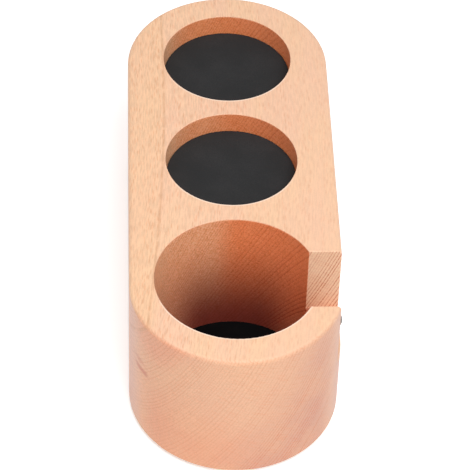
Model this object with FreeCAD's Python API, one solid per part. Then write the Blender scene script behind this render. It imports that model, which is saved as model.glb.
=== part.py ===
import FreeCAD, Part
import math
import os

Vec = FreeCAD.Vector
AXIS_X = Vec(1, 0, 0)
AXIS_Z = Vec(0, 0, 1)

# Frame: millimetres, +Z up, +Y to the far end, +X to the side with the handle slot.
# The origin is the middle of the footprint, on the surface that the feet stand on.

# Block: one piece of solid beech with straight sides and half-round ends
block_length = 240.0
block_width = 94.0
block_height = 70.5
top_round = 2.0         # radius along the top edge
base_round = 1.2        # radius along the bottom edge
rim_round = 0.4         # sanded edge round every pocket and along the slot

# Pockets, from the near end to the far end
near_wall = 14.4        # wood between the near end and the deep bore
bore_diameter = 72.0    # takes a portafilter basket
bore_floor = 3.6        # wood left under the deep bore
bridge = 9.6            # wood between two neighbouring pockets
recess_diameter = 60.0  # takes a tamper or distributor base of 58 mm
recess_depth = 11.5

# Slot for the portafilter's neck, from the deep bore out through the +X side
slot_width = 33.0
slot_depth = 36.0
slot_offset = -0.7      # middle of the slot from the bore's axis, towards the near end

# Rubber pads that lie in the pockets
pad_thickness = 1.5
pad_gap = 0.3           # radial gap between a pad and the wall of its pocket
pad_round = 0.4

# Two round-head wood screws in the side, one above the other under the slot
screw_drop = 4.9        # from the floor of the slot down to the axis of the upper screw
screw_spacing = 18.5    # between the two axes
screw_offset = 14.0     # from the slot's middle line to the screws, towards the far end
head_diameter = 7.0
head_height = 2.4
head_rim = 0.5          # straight edge under the dome
shank_diameter = 3.5
shank_length = 9.0      # under the head, with the point
point_length = 2.5
point_tip = 0.3         # radius that the point is cut off at
drive_length = 3.6      # arms of the cross recess in the head
drive_width = 0.8
drive_depth = 0.9
seat_depth = 0.3        # the head is drawn this far into the wood
seat_gap = 0.2          # radial gap round the head in its seat
pilot_gap = 0.1         # radial gap round the shank and past the point

# Four rubber feet under the block
foot_diameter = 14.0
foot_height = 2.0
foot_round = 0.5
foot_from_side = 15.0   # from the side of the block to the middle of a foot
foot_from_end = 40.0    # from the end of the block to the middle of a foot

# Places that follow from the sizes above
half_width = block_width / 2.0
half_length = block_length / 2.0
end_centre = half_length - half_width
base_z = foot_height
top_z = base_z + block_height
bore_radius = bore_diameter / 2.0
recess_radius = recess_diameter / 2.0
bore_y = -half_length + near_wall + bore_radius
middle_y = bore_y + bore_radius + bridge + recess_radius
far_y = middle_y + recess_diameter + bridge
bore_floor_z = base_z + bore_floor
recess_floor_z = top_z - recess_depth
slot_floor_z = top_z - slot_depth
slot_y = bore_y + slot_offset
screw_y = slot_y + screw_offset
cut_over = 5.0          # how far a cutter runs past the faces that it opens
tiny = 1e-6


# Outline of the block seen from above: two straight sides joined by two half circles.
def block_outline(z):
    near_left = Vec(-half_width, -end_centre, z)
    near_right = Vec(half_width, -end_centre, z)
    far_left = Vec(-half_width, end_centre, z)
    far_right = Vec(half_width, end_centre, z)
    edges = [
        Part.Arc(near_left, Vec(0, -half_length, z), near_right).toShape(),
        Part.LineSegment(near_right, far_right).toShape(),
        Part.Arc(far_right, Vec(0, half_length, z), far_left).toShape(),
        Part.LineSegment(far_left, near_left).toShape(),
    ]
    return Part.Face(Part.Wire(edges))


# Edges of a shape that lie at one height.
def edges_at(shape, z):
    return [e for e in shape.Edges if abs(e.BoundBox.ZMin - z) < tiny and abs(e.BoundBox.ZMax - z) < tiny]


# How far a point of the plan lies inside the block's outline.
def inset(x, y):
    return half_width - math.hypot(x, max(0.0, abs(y) - end_centre))


# Rims of the pockets and of the slot: the top face's edges, without the one along its outer round.
def rim_edges(shape):
    rims = []
    for edge in edges_at(shape, top_z):
        middle = edge.valueAt((edge.FirstParameter + edge.LastParameter) / 2.0)
        if inset(middle.x, middle.y) > top_round + tiny:
            rims.append(edge)
    return rims


# Outward corners of the slot: the upright ones at both ends of its walls, and those across its floor.
def slot_edges(shape):
    corners = []
    for edge in shape.Edges:
        box = edge.BoundBox
        in_slot = box.XMin > 0 and abs(box.Center.y - slot_y) < slot_width and box.ZMin > slot_floor_z - tiny
        upright = box.XLength < tiny and box.YLength < tiny
        across_floor = box.ZMax < slot_floor_z + tiny and box.YLength > tiny
        if in_slot and (upright or across_floor):
            corners.append(edge)
    return corners


# How far the side of the block stands from the middle line at a given y.
def side_x(y):
    past = max(0.0, abs(y) - end_centre)
    return math.sqrt(half_width ** 2 - past ** 2)


def pocket_cutter(y, radius, floor_z):
    return Part.makeCylinder(radius, top_z + cut_over - floor_z, Vec(0, y, floor_z), AXIS_Z)


# Straight channel from the middle of the bore out through the side of the block.
def slot_cutter():
    corner = Vec(0, slot_y - slot_width / 2.0, slot_floor_z)
    return Part.makeBox(half_width + cut_over, slot_width, slot_depth + cut_over, corner)


# Seat of a screw head and the pilot hole behind it, drilled from the side of the block.
def screw_cutter(z):
    seat_x = side_x(screw_y) - seat_depth
    seat = Part.makeCylinder(head_diameter / 2.0 + seat_gap, half_width, Vec(seat_x, screw_y, z), AXIS_X)
    pilot_radius = shank_diameter / 2.0 + pilot_gap
    straight = shank_length - point_length
    pilot = Part.makeCylinder(pilot_radius, straight, Vec(seat_x, screw_y, z), -AXIS_X)
    end = Part.makeCone(pilot_radius, point_tip + pilot_gap, point_length + pilot_gap,
                        Vec(seat_x - straight, screw_y, z), -AXIS_X)
    return seat.fuse([pilot, end])


def make_block():
    body = block_outline(base_z).extrude(AXIS_Z * block_height)
    body = body.makeFillet(top_round, edges_at(body, top_z))
    body = body.makeFillet(base_round, edges_at(body, base_z))
    body = body.cut(pocket_cutter(bore_y, bore_radius, bore_floor_z))
    body = body.cut(pocket_cutter(middle_y, recess_radius, recess_floor_z))
    body = body.cut(pocket_cutter(far_y, recess_radius, recess_floor_z))
    body = body.cut(slot_cutter())
    body = body.makeFillet(rim_round, rim_edges(body) + slot_edges(body))
    for z in screw_heights():
        body = body.cut(screw_cutter(z))
    return body


# Round pad with a softened top edge, lying on the floor of its pocket.
def make_pad(y, pocket_radius, floor_z):
    pad = Part.makeCylinder(pocket_radius - pad_gap, pad_thickness, Vec(0, y, floor_z), AXIS_Z)
    return pad.makeFillet(pad_round, edges_at(pad, floor_z + pad_thickness))


# Heights of the two screw axes: the first is near the slot, the second further down.
def screw_heights():
    upper = slot_floor_z - screw_drop
    return [upper, upper - screw_spacing]


# Round-head screw, turned about its own axis along X, with a cross recess in the dome.
def make_screw(z):
    radius = head_diameter / 2.0
    shank = shank_diameter / 2.0
    seat_x = side_x(screw_y) - seat_depth
    dome_start = Vec(head_rim, radius, 0)
    dome_top = Vec(head_height, 0, 0)
    rise = head_height - head_rim
    dome_radius = (radius ** 2 + rise ** 2) / (2.0 * rise)
    half_turn = math.asin(radius / dome_radius) / 2.0
    middle_x = head_height - dome_radius * (1.0 - math.cos(half_turn))
    dome_middle = Vec(middle_x, dome_radius * math.sin(half_turn), 0)
    corners = [
        Vec(-shank_length, 0, 0),
        Vec(-shank_length, point_tip, 0),
        Vec(-shank_length + point_length, shank, 0),
        Vec(0, shank, 0),
        Vec(0, radius, 0),
        dome_start,
    ]
    edges = [Part.LineSegment(a, b).toShape() for a, b in zip(corners, corners[1:])]
    edges.append(Part.Arc(dome_start, dome_middle, dome_top).toShape())
    edges.append(Part.LineSegment(dome_top, corners[0]).toShape())
    screw = Part.Face(Part.Wire(edges)).revolve(Vec(0, 0, 0), AXIS_X, 360)
    arms = [(drive_length, drive_width), (drive_width, drive_length)]
    for along_y, along_z in arms:
        corner = Vec(head_height - drive_depth, -along_y / 2.0, -along_z / 2.0)
        screw = screw.cut(Part.makeBox(drive_depth + cut_over, along_y, along_z, corner))
    screw.translate(Vec(seat_x, screw_y, z))
    return screw


# Foot with a softened bottom edge, stuck on the flat underside.
def make_foot(x, y):
    foot = Part.makeCylinder(foot_diameter / 2.0, foot_height, Vec(x, y, base_z - foot_height), AXIS_Z)
    return foot.makeFillet(foot_round, edges_at(foot, base_z - foot_height))


def make_parts():
    parts = {
        "beech_block": make_block(),
        "bore_pad": make_pad(bore_y, bore_radius, bore_floor_z),
        "middle_pad": make_pad(middle_y, recess_radius, recess_floor_z),
        "far_pad": make_pad(far_y, recess_radius, recess_floor_z),
    }
    for name, z in zip(("near_screw", "far_screw"), screw_heights()):
        parts[name] = make_screw(z)
    foot_x = half_width - foot_from_side
    foot_y = half_length - foot_from_end
    for end, y in (("near", -foot_y), ("far", foot_y)):
        for side, x in (("left", -foot_x), ("right", foot_x)):
            parts[end + "_" + side + "_foot"] = make_foot(x, y)
    return parts


os.makedirs("parts", exist_ok=True)
for name, shape in make_parts().items():
    if not shape.isValid() or len(shape.Solids) != 1:
        raise ValueError(name + " is not one valid solid")
    shape.exportStep("parts/" + name + ".step")
    print(name, "volume", round(shape.Volume, 1), "mm3")
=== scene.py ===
import math
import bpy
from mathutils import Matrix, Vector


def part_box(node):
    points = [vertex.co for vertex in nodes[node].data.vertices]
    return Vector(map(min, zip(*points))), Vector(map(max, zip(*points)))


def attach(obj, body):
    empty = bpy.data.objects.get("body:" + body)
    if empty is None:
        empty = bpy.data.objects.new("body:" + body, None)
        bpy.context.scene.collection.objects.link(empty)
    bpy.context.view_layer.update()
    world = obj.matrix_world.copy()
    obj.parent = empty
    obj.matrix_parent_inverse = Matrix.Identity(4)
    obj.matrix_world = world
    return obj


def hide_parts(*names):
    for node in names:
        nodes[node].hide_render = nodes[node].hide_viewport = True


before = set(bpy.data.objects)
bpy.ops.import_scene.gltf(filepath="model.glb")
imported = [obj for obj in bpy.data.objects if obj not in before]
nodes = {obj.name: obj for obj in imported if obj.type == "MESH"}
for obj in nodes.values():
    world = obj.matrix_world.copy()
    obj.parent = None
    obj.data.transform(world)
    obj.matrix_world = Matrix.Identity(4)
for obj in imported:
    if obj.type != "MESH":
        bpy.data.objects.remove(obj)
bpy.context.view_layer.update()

from types import SimpleNamespace

import bpy
import numpy as np
from mathutils import Matrix, Vector

mm = 0.001
print("frame loaded:", len(nodes), "nodes")


# Small helpers for building materials out of nodes

def srgb(red, green, blue):
    # screen colour 0 to 255 turned into the linear colour that shaders take
    values = np.array([red, green, blue]) / 255.0
    linear = np.where(values <= 0.04045, values / 12.92, ((values + 0.055) / 1.055) ** 2.4)
    return (*linear.tolist(), 1.0)


def newMaterial(name):
    material = bpy.data.materials.new(name)
    material.use_nodes = True
    tree = material.node_tree
    return material, tree, tree.nodes["Principled BSDF"]


def plug(tree, socket, value):
    # a socket takes either a plain value or another node's output
    if isinstance(value, bpy.types.NodeSocket):
        tree.links.new(value, socket)
    else:
        socket.default_value = value


def maths(tree, operation, first, second=0.0, third=0.0, clamp=False):
    node = tree.nodes.new("ShaderNodeMath")
    node.operation = operation
    node.use_clamp = clamp
    for socket, value in zip(node.inputs, (first, second, third)):
        plug(tree, socket, value)
    return node.outputs["Value"]


def times(tree, first, second):
    return maths(tree, "MULTIPLY", first, second)


def minus(tree, first, second):
    return maths(tree, "SUBTRACT", first, second)


def scaled(tree, value, gain, base):
    # value x gain + base
    return maths(tree, "MULTIPLY_ADD", value, gain, base)


def between(tree, amount, first, second):
    # first where the amount is 0, second where it is 1
    return scaled(tree, amount, minus(tree, second, first), first)


def smoothStep(tree, value, low, high):
    # 0 at low and 1 at high, whichever of them is larger
    node = tree.nodes.new("ShaderNodeMapRange")
    node.interpolation_type = "SMOOTHSTEP"
    plug(tree, node.inputs["Value"], value)
    plug(tree, node.inputs["From Min"], low)
    plug(tree, node.inputs["From Max"], high)
    return node.outputs["Result"]


def blendColours(tree, amount, first, second, mode="MIX"):
    node = tree.nodes.new("ShaderNodeMix")
    node.data_type = "RGBA"
    node.blend_type = mode
    plug(tree, node.inputs[0], amount)
    plug(tree, node.inputs[6], first)
    plug(tree, node.inputs[7], second)
    return node.outputs[2]


def tinted(tree, colour, tint):
    return blendColours(tree, 1.0, colour, tint, "MULTIPLY")


def joinXyz(tree, x, y, z):
    node = tree.nodes.new("ShaderNodeCombineXYZ")
    for socket, value in zip(node.inputs, (x, y, z)):
        plug(tree, socket, value)
    return node.outputs["Vector"]


def splitXyz(tree, vector):
    node = tree.nodes.new("ShaderNodeSeparateXYZ")
    tree.links.new(vector, node.inputs["Vector"])
    return node.outputs


def placeInMm(tree, source):
    node = tree.nodes.new("ShaderNodeMapping")
    node.inputs["Scale"].default_value = (1.0 / mm, 1.0 / mm, 1.0 / mm)
    tree.links.new(source.outputs["Object"], node.inputs["Vector"])
    return node.outputs["Vector"]


def noise(tree, vector, form):
    # form is the noise's scale, detail and roughness
    node = tree.nodes.new("ShaderNodeTexNoise")
    plug(tree, node.inputs["Vector"], vector)
    for name, value in zip(("Scale", "Detail", "Roughness"), form):
        node.inputs[name].default_value = value
    return node.outputs["Fac"]


def addBump(tree, shader, height, distance, strength):
    # the distance is in metres
    bump = tree.nodes.new("ShaderNodeBump")
    bump.inputs["Strength"].default_value = strength
    bump.inputs["Distance"].default_value = distance
    tree.links.new(height, bump.inputs["Height"])
    tree.links.new(bump.outputs["Normal"], shader.inputs["Normal"])


# Places of the three pockets, read from the pads that lie in them

def pocketAt(padName):
    low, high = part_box(padName)
    return {"x": (low[0] + high[0]) / 2.0 / mm, "y": (low[1] + high[1]) / 2.0 / mm,
            "radius": (high[0] - low[0]) / 2.0 / mm}


pockets = [pocketAt(name) for name in ("bore_pad", "middle_pad", "far_pad")]
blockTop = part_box("beech_block")[1][2] / mm


# Beech: growth rings round a pith that lies outside the block, rays that stand out from it, and end grain.
# All lengths are in millimetres. A pair says where a change begins and where it is complete, and a noise is
# its scale, detail and roughness.

beech = {
    # the trunk and its rings
    "pithX": -273.0,         # the pith runs beside the block and above it
    "pithZ": 193.0,
    "bend": 0.00035,         # the trunk bends: x grows by this times the square of the run from bendFrom
    "bendFrom": 60.0,
    "ringWidth": 1.32,
    "widthNoise": (0.06, 1.0, 0.5),      # rings widen and narrow
    "widthSeed": 7.0,        # which line through the noise they follow
    "widthDrift": 6.0,       # and by how many rings at most
    "ringWander": 0.35,      # how far a ring strays from its circle
    "wanderNoise": (0.02, 2.0, 0.45),
    "ringRagged": 0.9,       # and how ragged its line is
    "slowStretch": 0.22,     # slow changes run on along the trunk, and fibres more so
    "fibreStretch": 0.13,
    "ringShade": (0.3, 0.95),            # where it darkens, as shares of a ring
    "ringEdge": (0.6, 0.82),             # where its fine line comes up
    "ringBreak": (1.0, 0.93),            # and where that breaks off
    "edgeShare": 0.65,       # of a ring's strength, the rest is its shade
    "weakestRing": 0.25,     # beside 1 for the strongest
    "heartRing": 270.9,      # distance from the pith to the heart line
    "heartReach": (0.9, 0.1),            # from the middle of that line
    "heartNoise": (0.16, 2.0, 0.6),      # the line is broken along its run
    "heartBreaks": (0.25, 0.5),
    "heartShare": 0.36,
    "goldStep": 2.0,         # the gold comes up within this distance of the heart line

    # distances from the pith
    "outer": (322.0, 358.0),             # rings grow stronger away from the pith
    "nearPith": (318.0, 296.0),          # and towards it
    "flecked": (348.0, 276.0),           # flecks grow stronger towards it
    "pinkRadii": (296.0, 278.0),         # and the end grain turns pink, high up
    "pinkHeights": (48.0, 62.0),

    # rays: flat lenses, one to a cell
    "rayAcross": 0.33,       # between two rays round the pith
    "rayAlong": 4.6,
    "rayDeep": 9.0,
    "rayEdge": (0.55, 0.18),             # of a cell
    "rayChance": (0.0, 0.8),

    # which way a face looks, by one part of its normal
    "endFacing": (0.1, 0.7),             # along the block: end grain,
    "crossFacing": (0.25, 0.95),         # pocket walls that cut across the fibres
    "squareFacing": (0.6, 0.95),         # and those that stand square to them
    "sideFacing": (0.86, 1.0),           # across the block: flat sides
    "levelFacing": (0.3, 0.8),           # upward: floors

    # top and sides
    "plain": srgb(245, 200, 163),
    "pink": srgb(244, 197, 165),
    "toneNoise": (0.06, 2.0, 0.5),
    "toneChange": (0.35, 0.65),
    "gold": srgb(244, 198, 157),
    "goldShare": 0.6,
    # the flat sides' own tone, made pinker as a painted sheen of grazing reflection
    "sidePinkSheen": srgb(230, 182, 162),
    "sideDeepSheen": srgb(216, 168, 152),

    # end grain
    "endGrain": srgb(233, 182, 148),
    # painted shade: warmer and darker at the foot of the end grain
    "footShade": srgb(233, 167, 132),
    "warmHeights": (45.0, 0.0),
    "warmSlope": 0.6,        # the painted shade at the foot reaches higher on the left
    "pinkEnd": srgb(230, 152, 124),
    "pinkShare": 0.8,
    "outerEnd": srgb(214, 161, 138),
    "goldEnd": srgb(238, 186, 146),
    "patchNoise": (0.045, 2.0, 0.5),
    "patchChange": (0.3, 0.7),
    "patchShare": 0.4,

    # the slot
    "slotShift": -0.7,       # from the bore's axis to the slot's middle, and half the slot's width
    "slotHalf": 16.7,
    "slotFrom": 0.5,         # share of the bore's radius where it begins
    "slotWall": srgb(255, 218, 184),
    "slotFoot": srgb(255, 206, 172),
    "slotHeights": (58.0, 34.0),
    "slotFloorShade": srgb(160, 92, 68),      # painted shade, only where the floor meets the bore
    "slotFloorHeights": (37.6, 37.0),
    "slotFloorRun": (44.0, 36.0),

    # pocket walls and rims: the walls' oranges are partly the cut end grain's own and partly painted shade,
    # the colour of light bouncing inside the pockets
    "sideWall": srgb(255, 199, 154),     # walls of the pockets along the fibres
    "endWall": srgb(252, 155, 100),      # and across them
    "farWallShade": srgb(255, 154, 102),      # and on the side of the slot, painted shade lit only by light bouncing in the pocket
    "farWallRun": (-0.4, 0.7),           # shares of the pocket's radius
    "dustyWall": srgb(255, 189, 143),    # paler where lamp light falls, painted on the side away from the slot
    "dustyRun": (0.1, -0.3),
    "dusty": (1.0, 0.4, 0.15),           # how much so in each pocket, from the bore to the far recess
    # painted shade: darker towards the floor of the deep bore
    "deepWallShade": srgb(134, 60, 48),
    "deepSideShade": srgb(178, 94, 78),
    "deepHeights": (65.0, 8.0),
    "sideDepth": 0.6,        # how dark the walls along the fibres become, beside 1 for those across
    # painted highlight along the near rims
    "rimHighlight": srgb(255, 226, 204),
    "rimShare": 0.8,
    "rimRun": (-8.0, -24.0),             # from the pocket's middle towards the near end
    "wallReach": 0.45,       # how far from a pad's edge its pocket's wall may lie
    "rimReach": 1.3,         # and how far the rim's painted highlight
    "rimFade": 0.3,
    "rimDrops": (0.1, 0.5),              # under the block's top, where the rim ends and the wall begins

    # lines and rays
    "ringLine": srgb(226, 172, 132),
    "endLine": srgb(208, 110, 74),
    "sideLine": (0.78, 0.6, 0.5, 1.0),   # the sides' colour with its painted sheen, times this
    "wallLine": (0.72, 0.4, 0.26, 1.0),  # and the walls'
    "ray": srgb(220, 138, 86),
    "endRay": srgb(226, 132, 88),
    "heartLine": srgb(204, 144, 100),

    # strengths: a base, and what each mask adds to it
    "topRings": {"base": 0.1, "sideways": 0.4},
    "endRings": {"base": 0.26, "nearPith": 0.14, "outer": 0.45},
    "wallRings": {"base": 0.24, "outer": 0.4},
    "slotRings": 0.42,
    "topRays": {"base": 0.16, "flecked": 0.17},
    "endRays": 0.3,
    "fibreShade": {"base": 0.08, "flecked": 0.08, "endGrain": -0.02},
    "mottleShade": {"base": 0.1, "endGrain": 0.08, "walls": 0.4},
    "mottleGreen": {"base": 1.4, "walls": 0.8},   # of the shade in red
    "mottleBlue": {"base": 1.6, "walls": 2.4},
    "roughness": {"base": 0.4, "fibre": 0.12, "endGrain": 0.06},
    "mottleNoise": (1.3, 2.0, 0.6),
    "fibreNoise": (1.5, 2.0, 0.55),
    "fibreChange": (0.3, 0.7),
    "rayBump": -0.4,         # rays lie lower than the fibres
    "bumpDistance": 0.00005,             # metres
    "bumpStrength": 0.2,

    # two small dark streaks on the near end: x and z at both ends of each, and its strength
    "streak": srgb(196, 96, 82),
    "streakShare": 0.55,
    "streakStart": (-1.0, 1.0),
    "streakStop": (1.0, -0.6),
    "streakSides": (2.2, 0.5),
    "streaks": [
        ((-43.8, 45.5), (-41.0, 46.9), 0.6),
        ((-43.8, 41.4), (-39.4, 41.8), 1.0),
    ],
}


def trunkPlace(tree, x, y, z):
    # coordinates seen from the pith: across, along and upward
    run = minus(tree, y, beech["bendFrom"])
    across = minus(tree, x, beech["pithX"])
    across = scaled(tree, times(tree, run, run), beech["bend"], across)
    return across, y, minus(tree, z, beech["pithZ"])


def ringLines(tree, radius):
    # each ring darkens outwards and ends in a fine line, and no two rings are equally strong
    widthChange = noise(tree, joinXyz(tree, radius, 0.0, beech["widthSeed"]), beech["widthNoise"])
    evenCount = maths(tree, "DIVIDE", radius, beech["ringWidth"])
    count = scaled(tree, widthChange, beech["widthDrift"], evenCount)
    inRing = maths(tree, "FRACT", count)
    chance = tree.nodes.new("ShaderNodeTexWhiteNoise")
    chance.noise_dimensions = "1D"
    tree.links.new(maths(tree, "FLOOR", count), chance.inputs["W"])
    strength = scaled(tree, chance.outputs["Value"], 1.0 - beech["weakestRing"], beech["weakestRing"])
    shade = times(tree, smoothStep(tree, inRing, *beech["ringShade"]), 1.0 - beech["edgeShare"])
    line = times(tree, smoothStep(tree, inRing, *beech["ringEdge"]), beech["edgeShare"])
    both = times(tree, maths(tree, "ADD", shade, line), smoothStep(tree, inRing, *beech["ringBreak"]))
    return times(tree, both, strength)


def rayDashes(tree, radius, along, angle):
    # flat lenses that stand out from the pith, one to a cell, some of them missing
    cells = tree.nodes.new("ShaderNodeTexVoronoi")
    cells.inputs["Scale"].default_value = 1.0
    cells.inputs["Randomness"].default_value = 1.0
    place = joinXyz(
        tree,
        maths(tree, "DIVIDE", radius, beech["rayDeep"]),
        maths(tree, "DIVIDE", along, beech["rayAlong"]),
        times(tree, angle, beech["heartRing"] / beech["rayAcross"]),
    )
    tree.links.new(place, cells.inputs["Vector"])
    dash = smoothStep(tree, cells.outputs["Distance"], *beech["rayEdge"])
    pick = splitXyz(tree, cells.outputs["Color"])
    return times(tree, dash, smoothStep(tree, pick["X"], *beech["rayChance"]))


def pocketMasks(tree, x, y, z):
    # walls: 1 under the rims within the pockets' circles, so on their walls, where the cut fibres drink
    # more oil and painted shade gives them the orange of light bouncing inside the pockets, and on the
    # block's underside below them too
    # slotSide: 1 on the part of each wall that lies on the slot's side, which is painted as in shade
    # the third mask: on the other part, as strong as each pocket's share, where a paler tone is painted as
    # lamp light
    # rims: 1 along the near rims, where a pale highlight is painted
    walls, slotSide, dusty, rims = 0.0, 0.0, 0.0, 0.0
    for pocket, litShare in zip(pockets, beech["dusty"]):
        radius = pocket["radius"]
        dx = minus(tree, x, pocket["x"])
        dy = minus(tree, y, pocket["y"])
        reach = maths(tree, "SQRT", maths(tree, "ADD", times(tree, dx, dx), times(tree, dy, dy)))
        inside = maths(tree, "LESS_THAN", reach, radius + beech["wallReach"])
        walls = maths(tree, "MAXIMUM", walls, inside)
        side = smoothStep(tree, dx, *(share * radius for share in beech["farWallRun"]))
        slotSide = maths(tree, "MAXIMUM", slotSide, times(tree, inside, side))
        # the side away from the slot is painted paler, as lit by the lamp
        litPart = smoothStep(tree, dx, *(share * radius for share in beech["dustyRun"]))
        dusty = maths(tree, "MAXIMUM", dusty, times(tree, times(tree, inside, litPart), litShare))
        # a pale highlight is painted along the near rims
        edge = radius + beech["rimReach"]
        close = smoothStep(tree, reach, edge, edge - beech["rimFade"])
        rims = maths(tree, "MAXIMUM", rims, times(tree, close, smoothStep(tree, dy, *beech["rimRun"])))
    underRim = smoothStep(tree, z, *(blockTop - drop for drop in beech["rimDrops"]))
    onRim = minus(tree, 1.0, underRim)
    return times(tree, walls, underRim), slotSide, dusty, times(tree, rims, onRim)


def slotMask(tree, x, y):
    # 1 between the walls of the slot
    bore = pockets[0]
    aside = maths(tree, "ABSOLUTE", minus(tree, y, bore["y"] + beech["slotShift"]))
    inWidth = maths(tree, "LESS_THAN", aside, beech["slotHalf"])
    return times(tree, inWidth, maths(tree, "GREATER_THAN", x, beech["slotFrom"] * bore["radius"]))


def streakMask(tree, x, y, z):
    # soft capsules round short lines on the near end
    mask = 0.0
    for (fromX, fromZ), (toX, toZ), strength in beech["streaks"]:
        length = math.hypot(toX - fromX, toZ - fromZ)
        aimX, aimZ = (toX - fromX) / length, (toZ - fromZ) / length
        offX = minus(tree, x, fromX)
        offZ = minus(tree, z, fromZ)
        run = scaled(tree, offX, aimX, times(tree, offZ, aimZ))
        side = maths(tree, "ABSOLUTE", scaled(tree, offX, -aimZ, times(tree, offZ, aimX)))
        stop = smoothStep(tree, run, *(length + past for past in beech["streakStop"]))
        ends = times(tree, smoothStep(tree, run, *beech["streakStart"]), stop)
        one = times(tree, times(tree, ends, strength), smoothStep(tree, side, *beech["streakSides"]))
        mask = maths(tree, "MAXIMUM", mask, one)
    return times(tree, mask, maths(tree, "LESS_THAN", y, 0.0))


def readWood(tree):
    # what the colours, lines and finish of the beech are worked out from, at each point of its surface
    source = tree.nodes.new("ShaderNodeTexCoord")
    wood = SimpleNamespace(tree=tree, place=placeInMm(tree, source))
    wood.x, wood.y, wood.z = splitXyz(tree, wood.place)
    across, wood.along, upward = trunkPlace(tree, wood.x, wood.y, wood.z)

    # slow changes, long fibres and fine mottle
    wood.slowPlace = joinXyz(tree, across, times(tree, wood.along, beech["slowStretch"]), upward)
    fibrePlace = joinXyz(tree, across, times(tree, wood.along, beech["fibreStretch"]), upward)
    wood.fibre = noise(tree, fibrePlace, beech["fibreNoise"])
    wood.mottle = minus(tree, noise(tree, wood.place, beech["mottleNoise"]), 0.5)

    # angle round the pith and distance from it, which wavers: the noise strays by half a unit each way
    square = maths(tree, "ADD", times(tree, across, across), times(tree, upward, upward))
    wood.plainRadius = maths(tree, "SQRT", square)
    wander = minus(tree, noise(tree, wood.slowPlace, beech["wanderNoise"]), 0.5)
    wood.radius = scaled(tree, wander, beech["ringWander"] * 2.0, wood.plainRadius)
    wood.angle = maths(tree, "ARCTAN2", upward, across)
    golden = (beech["heartRing"] + beech["goldStep"], beech["heartRing"] - beech["goldStep"])
    wood.inner = smoothStep(tree, wood.radius, *golden)
    for name in ("outer", "nearPith", "flecked"):
        setattr(wood, name, smoothStep(tree, wood.radius, *beech[name]))

    # how much of the surface is end grain, how much a flat side and how much looks up
    normal = splitXyz(tree, source.outputs["Normal"])
    wood.lengthwise = maths(tree, "ABSOLUTE", normal["Y"])
    wood.endGrain = smoothStep(tree, wood.lengthwise, *beech["endFacing"])
    wood.sideways = smoothStep(tree, maths(tree, "ABSOLUTE", normal["X"]), *beech["sideFacing"])
    wood.level = smoothStep(tree, normal["Z"], *beech["levelFacing"])

    wood.walls, wood.slotSide, wood.dusty, wood.rims = pocketMasks(tree, wood.x, wood.y, wood.z)
    wood.inSlot = slotMask(tree, wood.x, wood.y)
    return wood


def strengthOf(wood, name):
    # the base plus each mask times what it adds
    parts = dict(beech[name])
    total = parts.pop("base")
    for mask, share in parts.items():
        total = scaled(wood.tree, getattr(wood, mask), share, total)
    return total


def topColour(wood):
    # slow changes of tone, golden inside the heart line
    tree = wood.tree
    tone = smoothStep(tree, noise(tree, wood.slowPlace, beech["toneNoise"]), *beech["toneChange"])
    colour = blendColours(tree, tone, beech["plain"], beech["pink"])
    return blendColours(tree, times(tree, wood.inner, beech["goldShare"]), colour, beech["gold"])


def endColour(wood):
    # warmer and darker at the foot as painted shade, pink high up near the pith, duller far from it, pale in
    # the slot
    tree = wood.tree
    warm = smoothStep(tree, scaled(tree, wood.x, beech["warmSlope"], wood.z), *beech["warmHeights"])
    colour = blendColours(tree, warm, beech["endGrain"], beech["footShade"])
    high = smoothStep(tree, wood.z, *beech["pinkHeights"])
    highNearPith = times(tree, smoothStep(tree, wood.radius, *beech["pinkRadii"]), high)
    colour = blendColours(tree, times(tree, highNearPith, beech["pinkShare"]), colour, beech["pinkEnd"])
    colour = blendColours(tree, wood.outer, colour, beech["outerEnd"])
    slotLow = smoothStep(tree, wood.z, *beech["slotHeights"])
    slotColour = blendColours(tree, slotLow, beech["slotWall"], beech["slotFoot"])
    colour = blendColours(tree, wood.inSlot, colour, slotColour)
    patch = smoothStep(tree, noise(tree, wood.place, beech["patchNoise"]), *beech["patchChange"])
    return blendColours(tree, times(tree, patch, beech["patchShare"]), colour, beech["goldEnd"])


def slotFloorShadeMask(wood):
    # 1 on the floor of the slot where it meets the bore, which is painted dark as shade
    tree = wood.tree
    low = times(tree, wood.inSlot, smoothStep(tree, wood.z, *beech["slotFloorHeights"]))
    return times(tree, times(tree, low, wood.level), smoothStep(tree, wood.x, *beech["slotFloorRun"]))


def pocketWallColour(wood):
    # pale along the fibres, orange across them, with painted shade: deeper orange on the slot's side, paler
    # on the side the lamp lights, and darker towards the floor of the deep bore
    tree = wood.tree
    # the side away from the slot is painted paler, as lit by the lamp
    crossCut = blendColours(tree, wood.dusty, beech["endWall"], beech["dustyWall"])
    acrossFibres = smoothStep(tree, wood.lengthwise, *beech["crossFacing"])
    colour = blendColours(tree, acrossFibres, beech["sideWall"], crossCut)
    # the slot's side of each wall is painted in the deeper orange of shade
    colour = blendColours(tree, wood.slotSide, colour, beech["farWallShade"])
    # painted shade towards the floor of the deep bore
    squareOn = smoothStep(tree, wood.lengthwise, *beech["squareFacing"])
    fullDepth = scaled(tree, squareOn, 1.0 - beech["sideDepth"], beech["sideDepth"])
    depth = times(tree, smoothStep(tree, wood.z, *beech["deepHeights"]), fullDepth)
    deepShade = blendColours(tree, squareOn, beech["deepSideShade"], beech["deepWallShade"])
    return blendColours(tree, depth, colour, deepShade)


def ringShare(wood):
    # how strongly the rings show: on the top and sides, on end grain, on pocket walls and in the slot
    tree = wood.tree
    onEnds = scaled(tree, wood.walls, strengthOf(wood, "wallRings"), strengthOf(wood, "endRings"))
    onEnds = scaled(tree, wood.inSlot, beech["slotRings"], onEnds)
    return between(tree, wood.endGrain, strengthOf(wood, "topRings"), onEnds)


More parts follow.
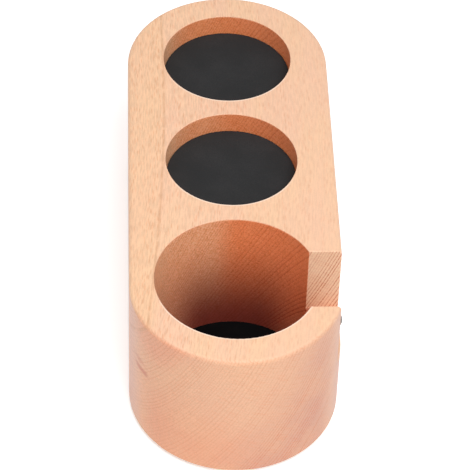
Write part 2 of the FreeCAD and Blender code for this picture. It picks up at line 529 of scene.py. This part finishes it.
def heartMask(wood):
    # a fine broken line at one distance from the pith
    tree = wood.tree
    fromHeart = maths(tree, "ABSOLUTE", minus(tree, wood.radius, beech["heartRing"]))
    run = noise(tree, joinXyz(tree, 0.0, wood.along, 0.0), beech["heartNoise"])
    broken = smoothStep(tree, run, *beech["heartBreaks"])
    return times(tree, smoothStep(tree, fromHeart, *beech["heartReach"]), broken)


def fibreShades(wood):
    # light and dark fibres, and fine mottle that tells more in green and blue than in red
    tree = wood.tree
    fibre = minus(tree, smoothStep(tree, wood.fibre, *beech["fibreChange"]), 0.5)
    shade = scaled(tree, fibre, strengthOf(wood, "fibreShade"), 1.0)
    mottle = times(tree, wood.mottle, strengthOf(wood, "mottleShade"))
    red = maths(tree, "ADD", shade, mottle)
    green = scaled(tree, mottle, strengthOf(wood, "mottleGreen"), shade)
    blue = scaled(tree, mottle, strengthOf(wood, "mottleBlue"), shade)
    return joinXyz(tree, red, green, blue)


def makeBeech():
    material, tree, shader = newMaterial("oiledBeech")
    wood = readWood(tree)

    # ground colour by the way each face is cut
    # the sides' ground colour, made pinker as a painted sheen
    sideColourAndSheen = blendColours(tree, wood.outer, beech["sidePinkSheen"], beech["sideDeepSheen"])
    wallColour = pocketWallColour(wood)
    colour = blendColours(tree, wood.endGrain, topColour(wood), endColour(wood))
    colour = blendColours(tree, wood.sideways, colour, sideColourAndSheen)
    # pocket walls: the cut end grain's own colour and painted shade
    colour = blendColours(tree, wood.walls, colour, wallColour)
    # painted shade on the slot's floor beside the bore
    colour = blendColours(tree, slotFloorShadeMask(wood), colour, beech["slotFloorShade"])

    # rings
    wallLine = tinted(tree, wallColour, beech["wallLine"])
    lineColour = blendColours(tree, wood.endGrain, beech["ringLine"], beech["endLine"])
    lineColour = blendColours(tree, wood.sideways, lineColour, tinted(tree, sideColourAndSheen, beech["sideLine"]))
    lineColour = blendColours(tree, wood.walls, lineColour, wallLine)
    ragged = scaled(tree, wood.mottle, beech["ringRagged"], wood.radius)
    colour = blendColours(tree, times(tree, ringLines(tree, ragged), ringShare(wood)), colour, lineColour)

    # rays
    dashes = rayDashes(tree, wood.plainRadius, wood.along, wood.angle)
    dashShare = between(tree, wood.endGrain, strengthOf(wood, "topRays"), beech["endRays"])
    rayColour = blendColours(tree, wood.endGrain, beech["ray"], beech["endRay"])
    rayColour = blendColours(tree, wood.walls, rayColour, wallLine)
    colour = blendColours(tree, times(tree, dashes, dashShare), colour, rayColour)

    # heart line, streaks, fibres and the painted highlight on the near rims
    heart = times(tree, heartMask(wood), beech["heartShare"])
    colour = blendColours(tree, heart, colour, beech["heartLine"])
    streaks = times(tree, streakMask(tree, wood.x, wood.y, wood.z), beech["streakShare"])
    colour = blendColours(tree, streaks, colour, beech["streak"])
    colour = tinted(tree, colour, fibreShades(wood))
    # a painted highlight on the near rims
    colour = blendColours(tree, times(tree, wood.rims, beech["rimShare"]), colour, beech["rimHighlight"])
    tree.links.new(colour, shader.inputs["Base Color"])

    # satin finish, with the fibres just felt through it
    tree.links.new(strengthOf(wood, "roughness"), shader.inputs["Roughness"])
    felt = scaled(tree, dashes, beech["rayBump"], wood.fibre)
    addBump(tree, shader, felt, beech["bumpDistance"], beech["bumpStrength"])
    return material


# Rubber of the pads and feet: matte, faintly mottled, with a fine moulded grain

rubber = {
    "kinds": {
        # name: ground colour, speck colour, roughness, gloss
        "blackRubber": (srgb(10, 10, 11), srgb(15, 15, 16), 0.8, 0.04),
        "charcoalRubber": (srgb(46, 47, 48), srgb(55, 55, 56), 0.8, 0.1),
        "footRubber": (srgb(34, 34, 36), srgb(46, 46, 48), 0.7, 0.3),
    },
    "grainNoise": (2.6, 2.0, 0.6),       # scale, detail and roughness
    "cloudNoise": (0.06, 2.0, 0.5),
    "specks": (0.4, 0.7),                # where they begin and where they are full
    "bumpDistance": 0.00005,
    "bumpStrength": 0.4,
}


def makeRubber(name):
    ground, speck, roughness, gloss = rubber["kinds"][name]
    material, tree, shader = newMaterial(name)
    place = placeInMm(tree, tree.nodes.new("ShaderNodeTexCoord"))
    grain = noise(tree, place, rubber["grainNoise"])
    cloud = noise(tree, place, rubber["cloudNoise"])
    average = scaled(tree, grain, 0.5, times(tree, cloud, 0.5))
    colour = blendColours(tree, smoothStep(tree, average, *rubber["specks"]), ground, speck)
    tree.links.new(colour, shader.inputs["Base Color"])
    shader.inputs["Roughness"].default_value = roughness
    shader.inputs["Specular IOR Level"].default_value = gloss
    addBump(tree, shader, grain, rubber["bumpDistance"], rubber["bumpStrength"])
    return material


# Dark oxidised steel of the screws, worn lighter here and there

screwFinish = {
    "dark": srgb(80, 76, 75),
    "worn": srgb(138, 131, 128),
    "wearNoise": (0.9, 3.0, 0.6),
    "wear": (0.3, 0.7),
    "metallic": 0.6,
    "roughness": 0.3,        # and what the wear adds
    "wearRough": 0.25,
    "bumpDistance": 0.00002,
    "bumpStrength": 0.3,
}


def makeScrewMetal():
    material, tree, shader = newMaterial("darkScrewMetal")
    place = placeInMm(tree, tree.nodes.new("ShaderNodeTexCoord"))
    wear = noise(tree, place, screwFinish["wearNoise"])
    worn = smoothStep(tree, wear, *screwFinish["wear"])
    colour = blendColours(tree, worn, screwFinish["dark"], screwFinish["worn"])
    tree.links.new(colour, shader.inputs["Base Color"])
    shader.inputs["Metallic"].default_value = screwFinish["metallic"]
    rough = scaled(tree, wear, screwFinish["wearRough"], screwFinish["roughness"])
    tree.links.new(rough, shader.inputs["Roughness"])
    addBump(tree, shader, wear, screwFinish["bumpDistance"], screwFinish["bumpStrength"])
    return material


blockMesh = nodes["beech_block"].data
blockMesh.materials.clear()
blockMesh.materials.append(makeBeech())
materials = {name: makeRubber(name) for name in rubber["kinds"]}
materials["darkScrewMetal"] = makeScrewMetal()
print("materials made:", len(materials) + 1)


# Closed skins from rows of points

def closedSkin(name, firstPole, rows, lastPole, material):
    # rows[i, j] is the point at step i along the profile and step j round the axis. Each end closes in one
    # pole. The volume under the skin is the sum of a . (b x c) / 6 over its triangles, and where it comes
    # out negative the faces are turned to point outwards.
    steps, around = rows.shape[:2]
    points = np.vstack([firstPole, rows.reshape(-1, 3), lastPole])
    here = np.arange(around)
    after = np.roll(here, -1)
    start = 1 + around * np.arange(steps - 1)[:, None]
    upper, lower = start + here, start + around + here
    upperAfter, lowerAfter = start + after, start + around + after
    sides = np.stack([upper, lower, upperAfter, upperAfter, lower, lowerAfter], axis=-1).reshape(-1, 3)
    firstFan = np.stack([np.zeros_like(here), 1 + here, 1 + after], axis=-1)
    lastRow = 1 + around * (steps - 1)
    lastFan = np.stack([np.full_like(here, len(points) - 1), lastRow + after, lastRow + here], axis=-1)
    faces = np.vstack([firstFan, sides, lastFan])
    a, b, c = points[faces[:, 0]], points[faces[:, 1]], points[faces[:, 2]]
    if np.sum(a * np.cross(b, c)) < 0.0:
        faces = faces[:, ::-1]
    mesh = bpy.data.meshes.new(name)
    mesh.from_pydata(points.tolist(), [], faces.tolist())
    mesh.polygons.foreach_set("use_smooth", np.ones(len(faces), dtype=bool))
    mesh.materials.append(material)
    mesh.update()
    piece = bpy.data.objects.new(name, mesh)
    bpy.context.scene.collection.objects.link(piece)
    return piece


def standIn(piece, nodeName):
    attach(piece, "root")
    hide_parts(nodeName)


def nodeBox(nodeName):
    return (np.array(corner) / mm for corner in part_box(nodeName))


def discAt(nodeName):
    # middle of the underside, radius and thickness of a node that is an upright disc
    low, high = nodeBox(nodeName)
    centre = np.array([(low[0] + high[0]) / 2.0, (low[1] + high[1]) / 2.0, low[2]])
    return centre, (high[0] - low[0]) / 2.0, high[2] - low[2]


def turned(name, reach, height, centre, material, around, waves=0.0, lobes=3.0, upperFrom=0.6):
    # surface of revolution about an upright axis: point(s, t) = centre + (reach(s) cos t, reach(s) sin t,
    # height(s)). Above the share upperFrom of its height it is lowered by
    # |waves x sin(lobes x t)| x (reach / widest reach)^2.
    turn = np.linspace(0.0, 2.0 * math.pi, around, endpoint=False)[None, :]
    reach, height = reach[:, None], height[:, None]
    swell = waves * np.sin(lobes * turn) * (reach / reach.max()) ** 2
    z = height - np.abs(swell) * (height > upperFrom * height.max())
    points = np.stack([reach * np.cos(turn), reach * np.sin(turn), z], axis=-1)
    poles = [(np.array([0.0, 0.0, height[end, 0]]) + centre) * mm for end in (0, -1)]
    return closedSkin(name, poles[0], (points + centre)[1:-1] * mm, poles[1], material)


def quarterRound(reachCentre, heightCentre, radius, startAngle, endAngle, steps=9):
    # arc of the profile: reach = centre + r cos a, height = centre + r sin a
    angles = np.radians(np.linspace(startAngle, endAngle, steps))
    return reachCentre + radius * np.cos(angles), heightCentre + radius * np.sin(angles)


# Pads: die-cut rubber discs with a soft upper edge and a barely dished face

padForm = {
    "upperRound": 0.4,       # mm
    "lowerRound": 0.12,
    "dish": 0.06,            # the middle of the face is this much lower
    "waves": 0.03,           # and its edge waves down by this much at most
    "faceSteps": 28,
    "underSteps": 12,
    "around": 144,
}


def makePad(nodeName, name, material):
    # profile: flat underside, two quarter rounds and the face, whose height at a share p of its radius is
    # thickness - dish x (1 - p^2)
    centre, radius, thickness = discAt(nodeName)
    upper, lower = padForm["upperRound"], padForm["lowerRound"]
    lowerReach, lowerHeight = quarterRound(radius - lower, lower, lower, -90, 0)
    upperReach, upperHeight = quarterRound(radius - upper, thickness - upper, upper, 0, 90)
    share = np.linspace(1.0, 0.0, padForm["faceSteps"])[1:]
    faceReach = share * (radius - upper)
    faceHeight = thickness - padForm["dish"] * (1.0 - share ** 2)
    under = np.linspace(0.0, radius - lower, padForm["underSteps"])[:-1]
    reach = np.concatenate([under, lowerReach, upperReach, faceReach])
    height = np.concatenate([np.zeros_like(under), lowerHeight, upperHeight, faceHeight])
    piece = turned(name, reach, height, centre, material, padForm["around"], padForm["waves"])
    standIn(piece, nodeName)


makePad("bore_pad", "boreRubberPad", materials["blackRubber"])
makePad("middle_pad", "middleRubberPad", materials["charcoalRubber"])
makePad("far_pad", "farRubberPad", materials["charcoalRubber"])
print("pads made: 3")


# Feet: moulded rubber buttons with a shallow hollow underneath

footForm = {
    "lowerRound": 0.5,       # mm
    "hollow": 0.35,
    "hollowShare": 0.55,     # of the foot's radius
    "hollowSteps": 14,
    "topSteps": 10,
    "around": 72,
}


def makeFoot(nodeName):
    # profile: hollow, quarter round and flat top. At a share p of its radius the hollow's height is
    # hollow x cos^2(p x pi / 2).
    centre, radius, thickness = discAt(nodeName)
    edge = footForm["lowerRound"]
    hollowRadius = radius * footForm["hollowShare"]
    hollowReach = np.linspace(0.0, hollowRadius, footForm["hollowSteps"])
    hollowHeight = footForm["hollow"] * np.cos(0.5 * math.pi * hollowReach / hollowRadius) ** 2
    edgeReach, edgeHeight = quarterRound(radius - edge, edge, edge, -90, 0)
    topReach = np.linspace(radius, 0.0, footForm["topSteps"])
    reach = np.concatenate([hollowReach, edgeReach, topReach])
    height = np.concatenate([hollowHeight, edgeHeight, np.full_like(topReach, thickness)])
    name = nodeName.replace("_foot", "RubberFoot")
    piece = turned(name, reach, height, centre, materials["footRubber"], footForm["around"])
    standIn(piece, nodeName)


footNames = [name for name in nodes if name.endswith("_foot")]
for footName in footNames:
    makeFoot(footName)
print("feet made:", len(footNames))


# Screws: round head with a tapered cross recess, and a wood thread that runs out in a point

screwForm = {
    "headHeight": 2.4,       # mm
    "headRim": 0.5,
    "underHead": 9.0,        # length of the shank with its point
    "shank": 1.75,           # radii of the crest and of the root of the thread
    "root": 1.3,
    "point": 2.6,
    "pointPower": 0.8,       # below 1 the point is fuller than a cone
    "pitch": 1.35,
    "ridgeHalf": 0.28,       # half the ridge's width, as a share of the pitch
    "plainNeck": 1.2,
    "neckRunOut": 0.8,       # the thread comes up over this length
    "armLength": 1.8,        # of the cross recess, from the middle
    "armWidth": 0.42,        # half of an arm's width
    "armDepth": 1.0,
    "armTaper": 0.16,
    "armRise": 0.6,          # share of the arm's length over which its floor rises
    "innerReach": 0.04,      # where the dome's first row lies
    "rimHeights": (0.35, 0.15, 0.0),
    "rowGap": 0.1,           # between an edge and the row next to it
    "domeSteps": 60,
    "underSteps": 6,
    "shankSteps": 150,
    "around": 128,
}


def crossDepth(u, v):
    # depth of the recess: deepest in the middle, falling off along each arm and steeply at its sides
    rise = screwForm["armRise"] * screwForm["armLength"]

    def arm(along, aside):
        side = np.clip((screwForm["armWidth"] - np.abs(aside)) / screwForm["armTaper"], 0.0, 1.0)
        end = np.clip((screwForm["armLength"] - np.abs(along)) / rise, 0.0, 1.0)
        return side * end

    return screwForm["armDepth"] * np.maximum(arm(u, v), arm(v, u))


def makeScrew(nodeName, name):
    # point(s, t): s runs from the middle of the dome over its rim and down the shank to the point, t round
    # the axis. On the dome the height is a sphere's cap less the cross recess. On the shank the radius is
    # root + (crest - root) x ridge(x / pitch + t / 2 pi), narrowed towards the point.
    low, high = nodeBox(nodeName)
    underHead, shank, gap = screwForm["underHead"], screwForm["shank"], screwForm["rowGap"]
    seat = np.array([low[0] + underHead, (low[1] + high[1]) / 2.0, (low[2] + high[2]) / 2.0])
    headRadius = (high[1] - low[1]) / 2.0
    turn = np.linspace(0.0, 2.0 * math.pi, screwForm["around"], endpoint=False)[None, :]

    def allRound(values):
        # the same value at every step round the axis
        return np.asarray(values)[:, None] * np.ones_like(turn)

    rise = screwForm["headHeight"] - screwForm["headRim"]
    capRadius = (headRadius ** 2 + rise ** 2) / (2.0 * rise)
    domeReach = allRound(np.linspace(screwForm["innerReach"], headRadius, screwForm["domeSteps"]))
    cap = screwForm["headHeight"] - capRadius + np.sqrt(capRadius ** 2 - domeReach ** 2)
    domeX = cap - crossDepth(domeReach * np.cos(turn), domeReach * np.sin(turn))

    rimX = allRound(screwForm["rimHeights"])
    rimReach = np.full_like(rimX, headRadius)
    underReach = allRound(np.linspace(headRadius - gap, shank, screwForm["underSteps"]))
    underX = np.zeros_like(underReach)

    down = allRound(np.linspace(gap, underHead - gap, screwForm["shankSteps"]))
    phase = (down / screwForm["pitch"] + turn / (2.0 * math.pi)) % 1.0
    ridge = np.clip(1.0 - np.abs(phase - 0.5) / screwForm["ridgeHalf"], 0.0, 1.0)
    neck = np.clip((down - screwForm["plainNeck"]) / screwForm["neckRunOut"], 0.0, 1.0)
    ridge = ridge * neck + (1.0 - neck)
    taper = np.clip((underHead - down) / screwForm["point"], 0.0, 1.0) ** screwForm["pointPower"]
    shankReach = (screwForm["root"] + (shank - screwForm["root"]) * ridge) * taper

    reach = np.vstack([domeReach, rimReach, underReach, shankReach])
    outward = np.vstack([domeX, rimX, underX, -down])
    rows = np.stack([outward, reach * np.cos(turn), reach * np.sin(turn)], axis=-1)
    firstPole = seat + np.array([screwForm["headHeight"] - screwForm["armDepth"], 0.0, 0.0])
    lastPole = seat - np.array([underHead, 0.0, 0.0])
    piece = closedSkin(name, firstPole * mm, (rows + seat) * mm, lastPole * mm, materials["darkScrewMetal"])
    standIn(piece, nodeName)


makeScrew("near_screw", "nearRoundHeadScrew")
makeScrew("far_screw", "farRoundHeadScrew")
print("screws made: 2")


# White floor, lamps, world and camera

stage = {
    "floorSize": 6.0,        # metres across
    "floorColour": srgb(250, 250, 250),
    "floorRoughness": 0.9,
    "floorLift": 0.42,       # how much of the white the camera sees without the lamps, so the shadow is faint
    "roomLight": 0.45,
    "white": (1.0, 1.0, 1.0, 1.0),
}


def seenDirectly(tree):
    # 1 where the camera, a mirror or clear glass looks straight at the white surroundings
    rays = tree.nodes.new("ShaderNodeLightPath")
    seen = maths(tree, "ADD", rays.outputs["Is Camera Ray"], rays.outputs["Is Glossy Ray"])
    return maths(tree, "ADD", seen, rays.outputs["Is Transmission Ray"], clamp=True)


def makeFloor():
    half = stage["floorSize"] / 2.0
    corners = [(-half, -half, 0), (half, -half, 0), (half, half, 0), (-half, half, 0)]
    mesh = bpy.data.meshes.new("paleFloor")
    mesh.from_pydata(corners, [], [(0, 1, 2, 3)])
    floor = bpy.data.objects.new("paleFloor", mesh)
    bpy.context.scene.collection.objects.link(floor)
    material, tree, shader = newMaterial("paleFloor")
    shader.inputs["Base Color"].default_value = stage["floorColour"]
    shader.inputs["Roughness"].default_value = stage["floorRoughness"]
    shader.inputs["Emission Color"].default_value = stage["white"]
    plug(tree, shader.inputs["Emission Strength"], times(tree, seenDirectly(tree), stage["floorLift"]))
    mesh.materials.append(material)


def makeWorld():
    # full white where it is seen directly, and weaker as a light
    world = bpy.data.worlds.new("softRoom")
    bpy.context.scene.world = world
    world.use_nodes = True
    tree = world.node_tree
    background = tree.nodes["Background"]
    background.inputs["Color"].default_value = stage["white"]
    strength = scaled(tree, seenDirectly(tree), 1.0 - stage["roomLight"], stage["roomLight"])
    plug(tree, background.inputs["Strength"], strength)


lamps = {
    "aim": (0.0, -0.03, 0.03),           # metres, the point that both light
    "discs": {
        # name: place in metres, size in metres, power in watts
        "topLamp": ((0.17, -0.6, 1.22), 0.9, 12.3),
        "frontLamp": ((-0.5, -1.5, 0.7), 0.9, 1.0),
    },
}


def makeLamps():
    for name, (place, size, power) in lamps["discs"].items():
        data = bpy.data.lights.new(name, "AREA")
        data.shape = "DISK"
        data.size = size
        data.energy = power
        lamp = bpy.data.objects.new(name, data)
        bpy.context.scene.collection.objects.link(lamp)
        lamp.location = place
        lamp.rotation_euler = (Vector(lamps["aim"]) - Vector(place)).to_track_quat("-Z", "Y").to_euler()


photoView = {
    "place": (-0.04821, -0.88255, 0.91075),
    "yaw": -0.05745,         # radians to the left of +Y
    "pitch": 0.78392,        # radians below the horizon
    "roll": 0.03735,
    "film": 36.0,            # mm wide
    "focal": 205.52,         # mm
    "nearest": 0.05,         # metres, the range that the camera sees
    "farthest": 20.0,
}


def makeCamera():
    data = bpy.data.cameras.new("photoCamera")
    data.sensor_width = photoView["film"]
    data.lens = photoView["focal"]
    data.clip_start = photoView["nearest"]
    data.clip_end = photoView["farthest"]
    camera = bpy.data.objects.new("photoCamera", data)
    bpy.context.scene.collection.objects.link(camera)
    sinYaw, cosYaw = math.sin(photoView["yaw"]), math.cos(photoView["yaw"])
    sinPitch, cosPitch = math.sin(photoView["pitch"]), math.cos(photoView["pitch"])
    sinRoll, cosRoll = math.sin(photoView["roll"]), math.cos(photoView["roll"])
    forward = np.array([-sinYaw * cosPitch, cosYaw * cosPitch, -sinPitch])
    level = np.array([cosYaw, sinYaw, 0.0])
    upright = np.cross(level, forward)
    right = level * cosRoll + upright * sinRoll
    up = upright * cosRoll - level * sinRoll
    turn = Matrix(np.column_stack([right, up, -forward]).tolist()).to_4x4()
    camera.matrix_world = Matrix.Translation(photoView["place"]) @ turn
    bpy.context.scene.camera = camera


makeFloor()
makeWorld()
makeLamps()
makeCamera()
bpy.context.scene.view_settings.view_transform = "Standard"
print("floor, lamps and camera made")
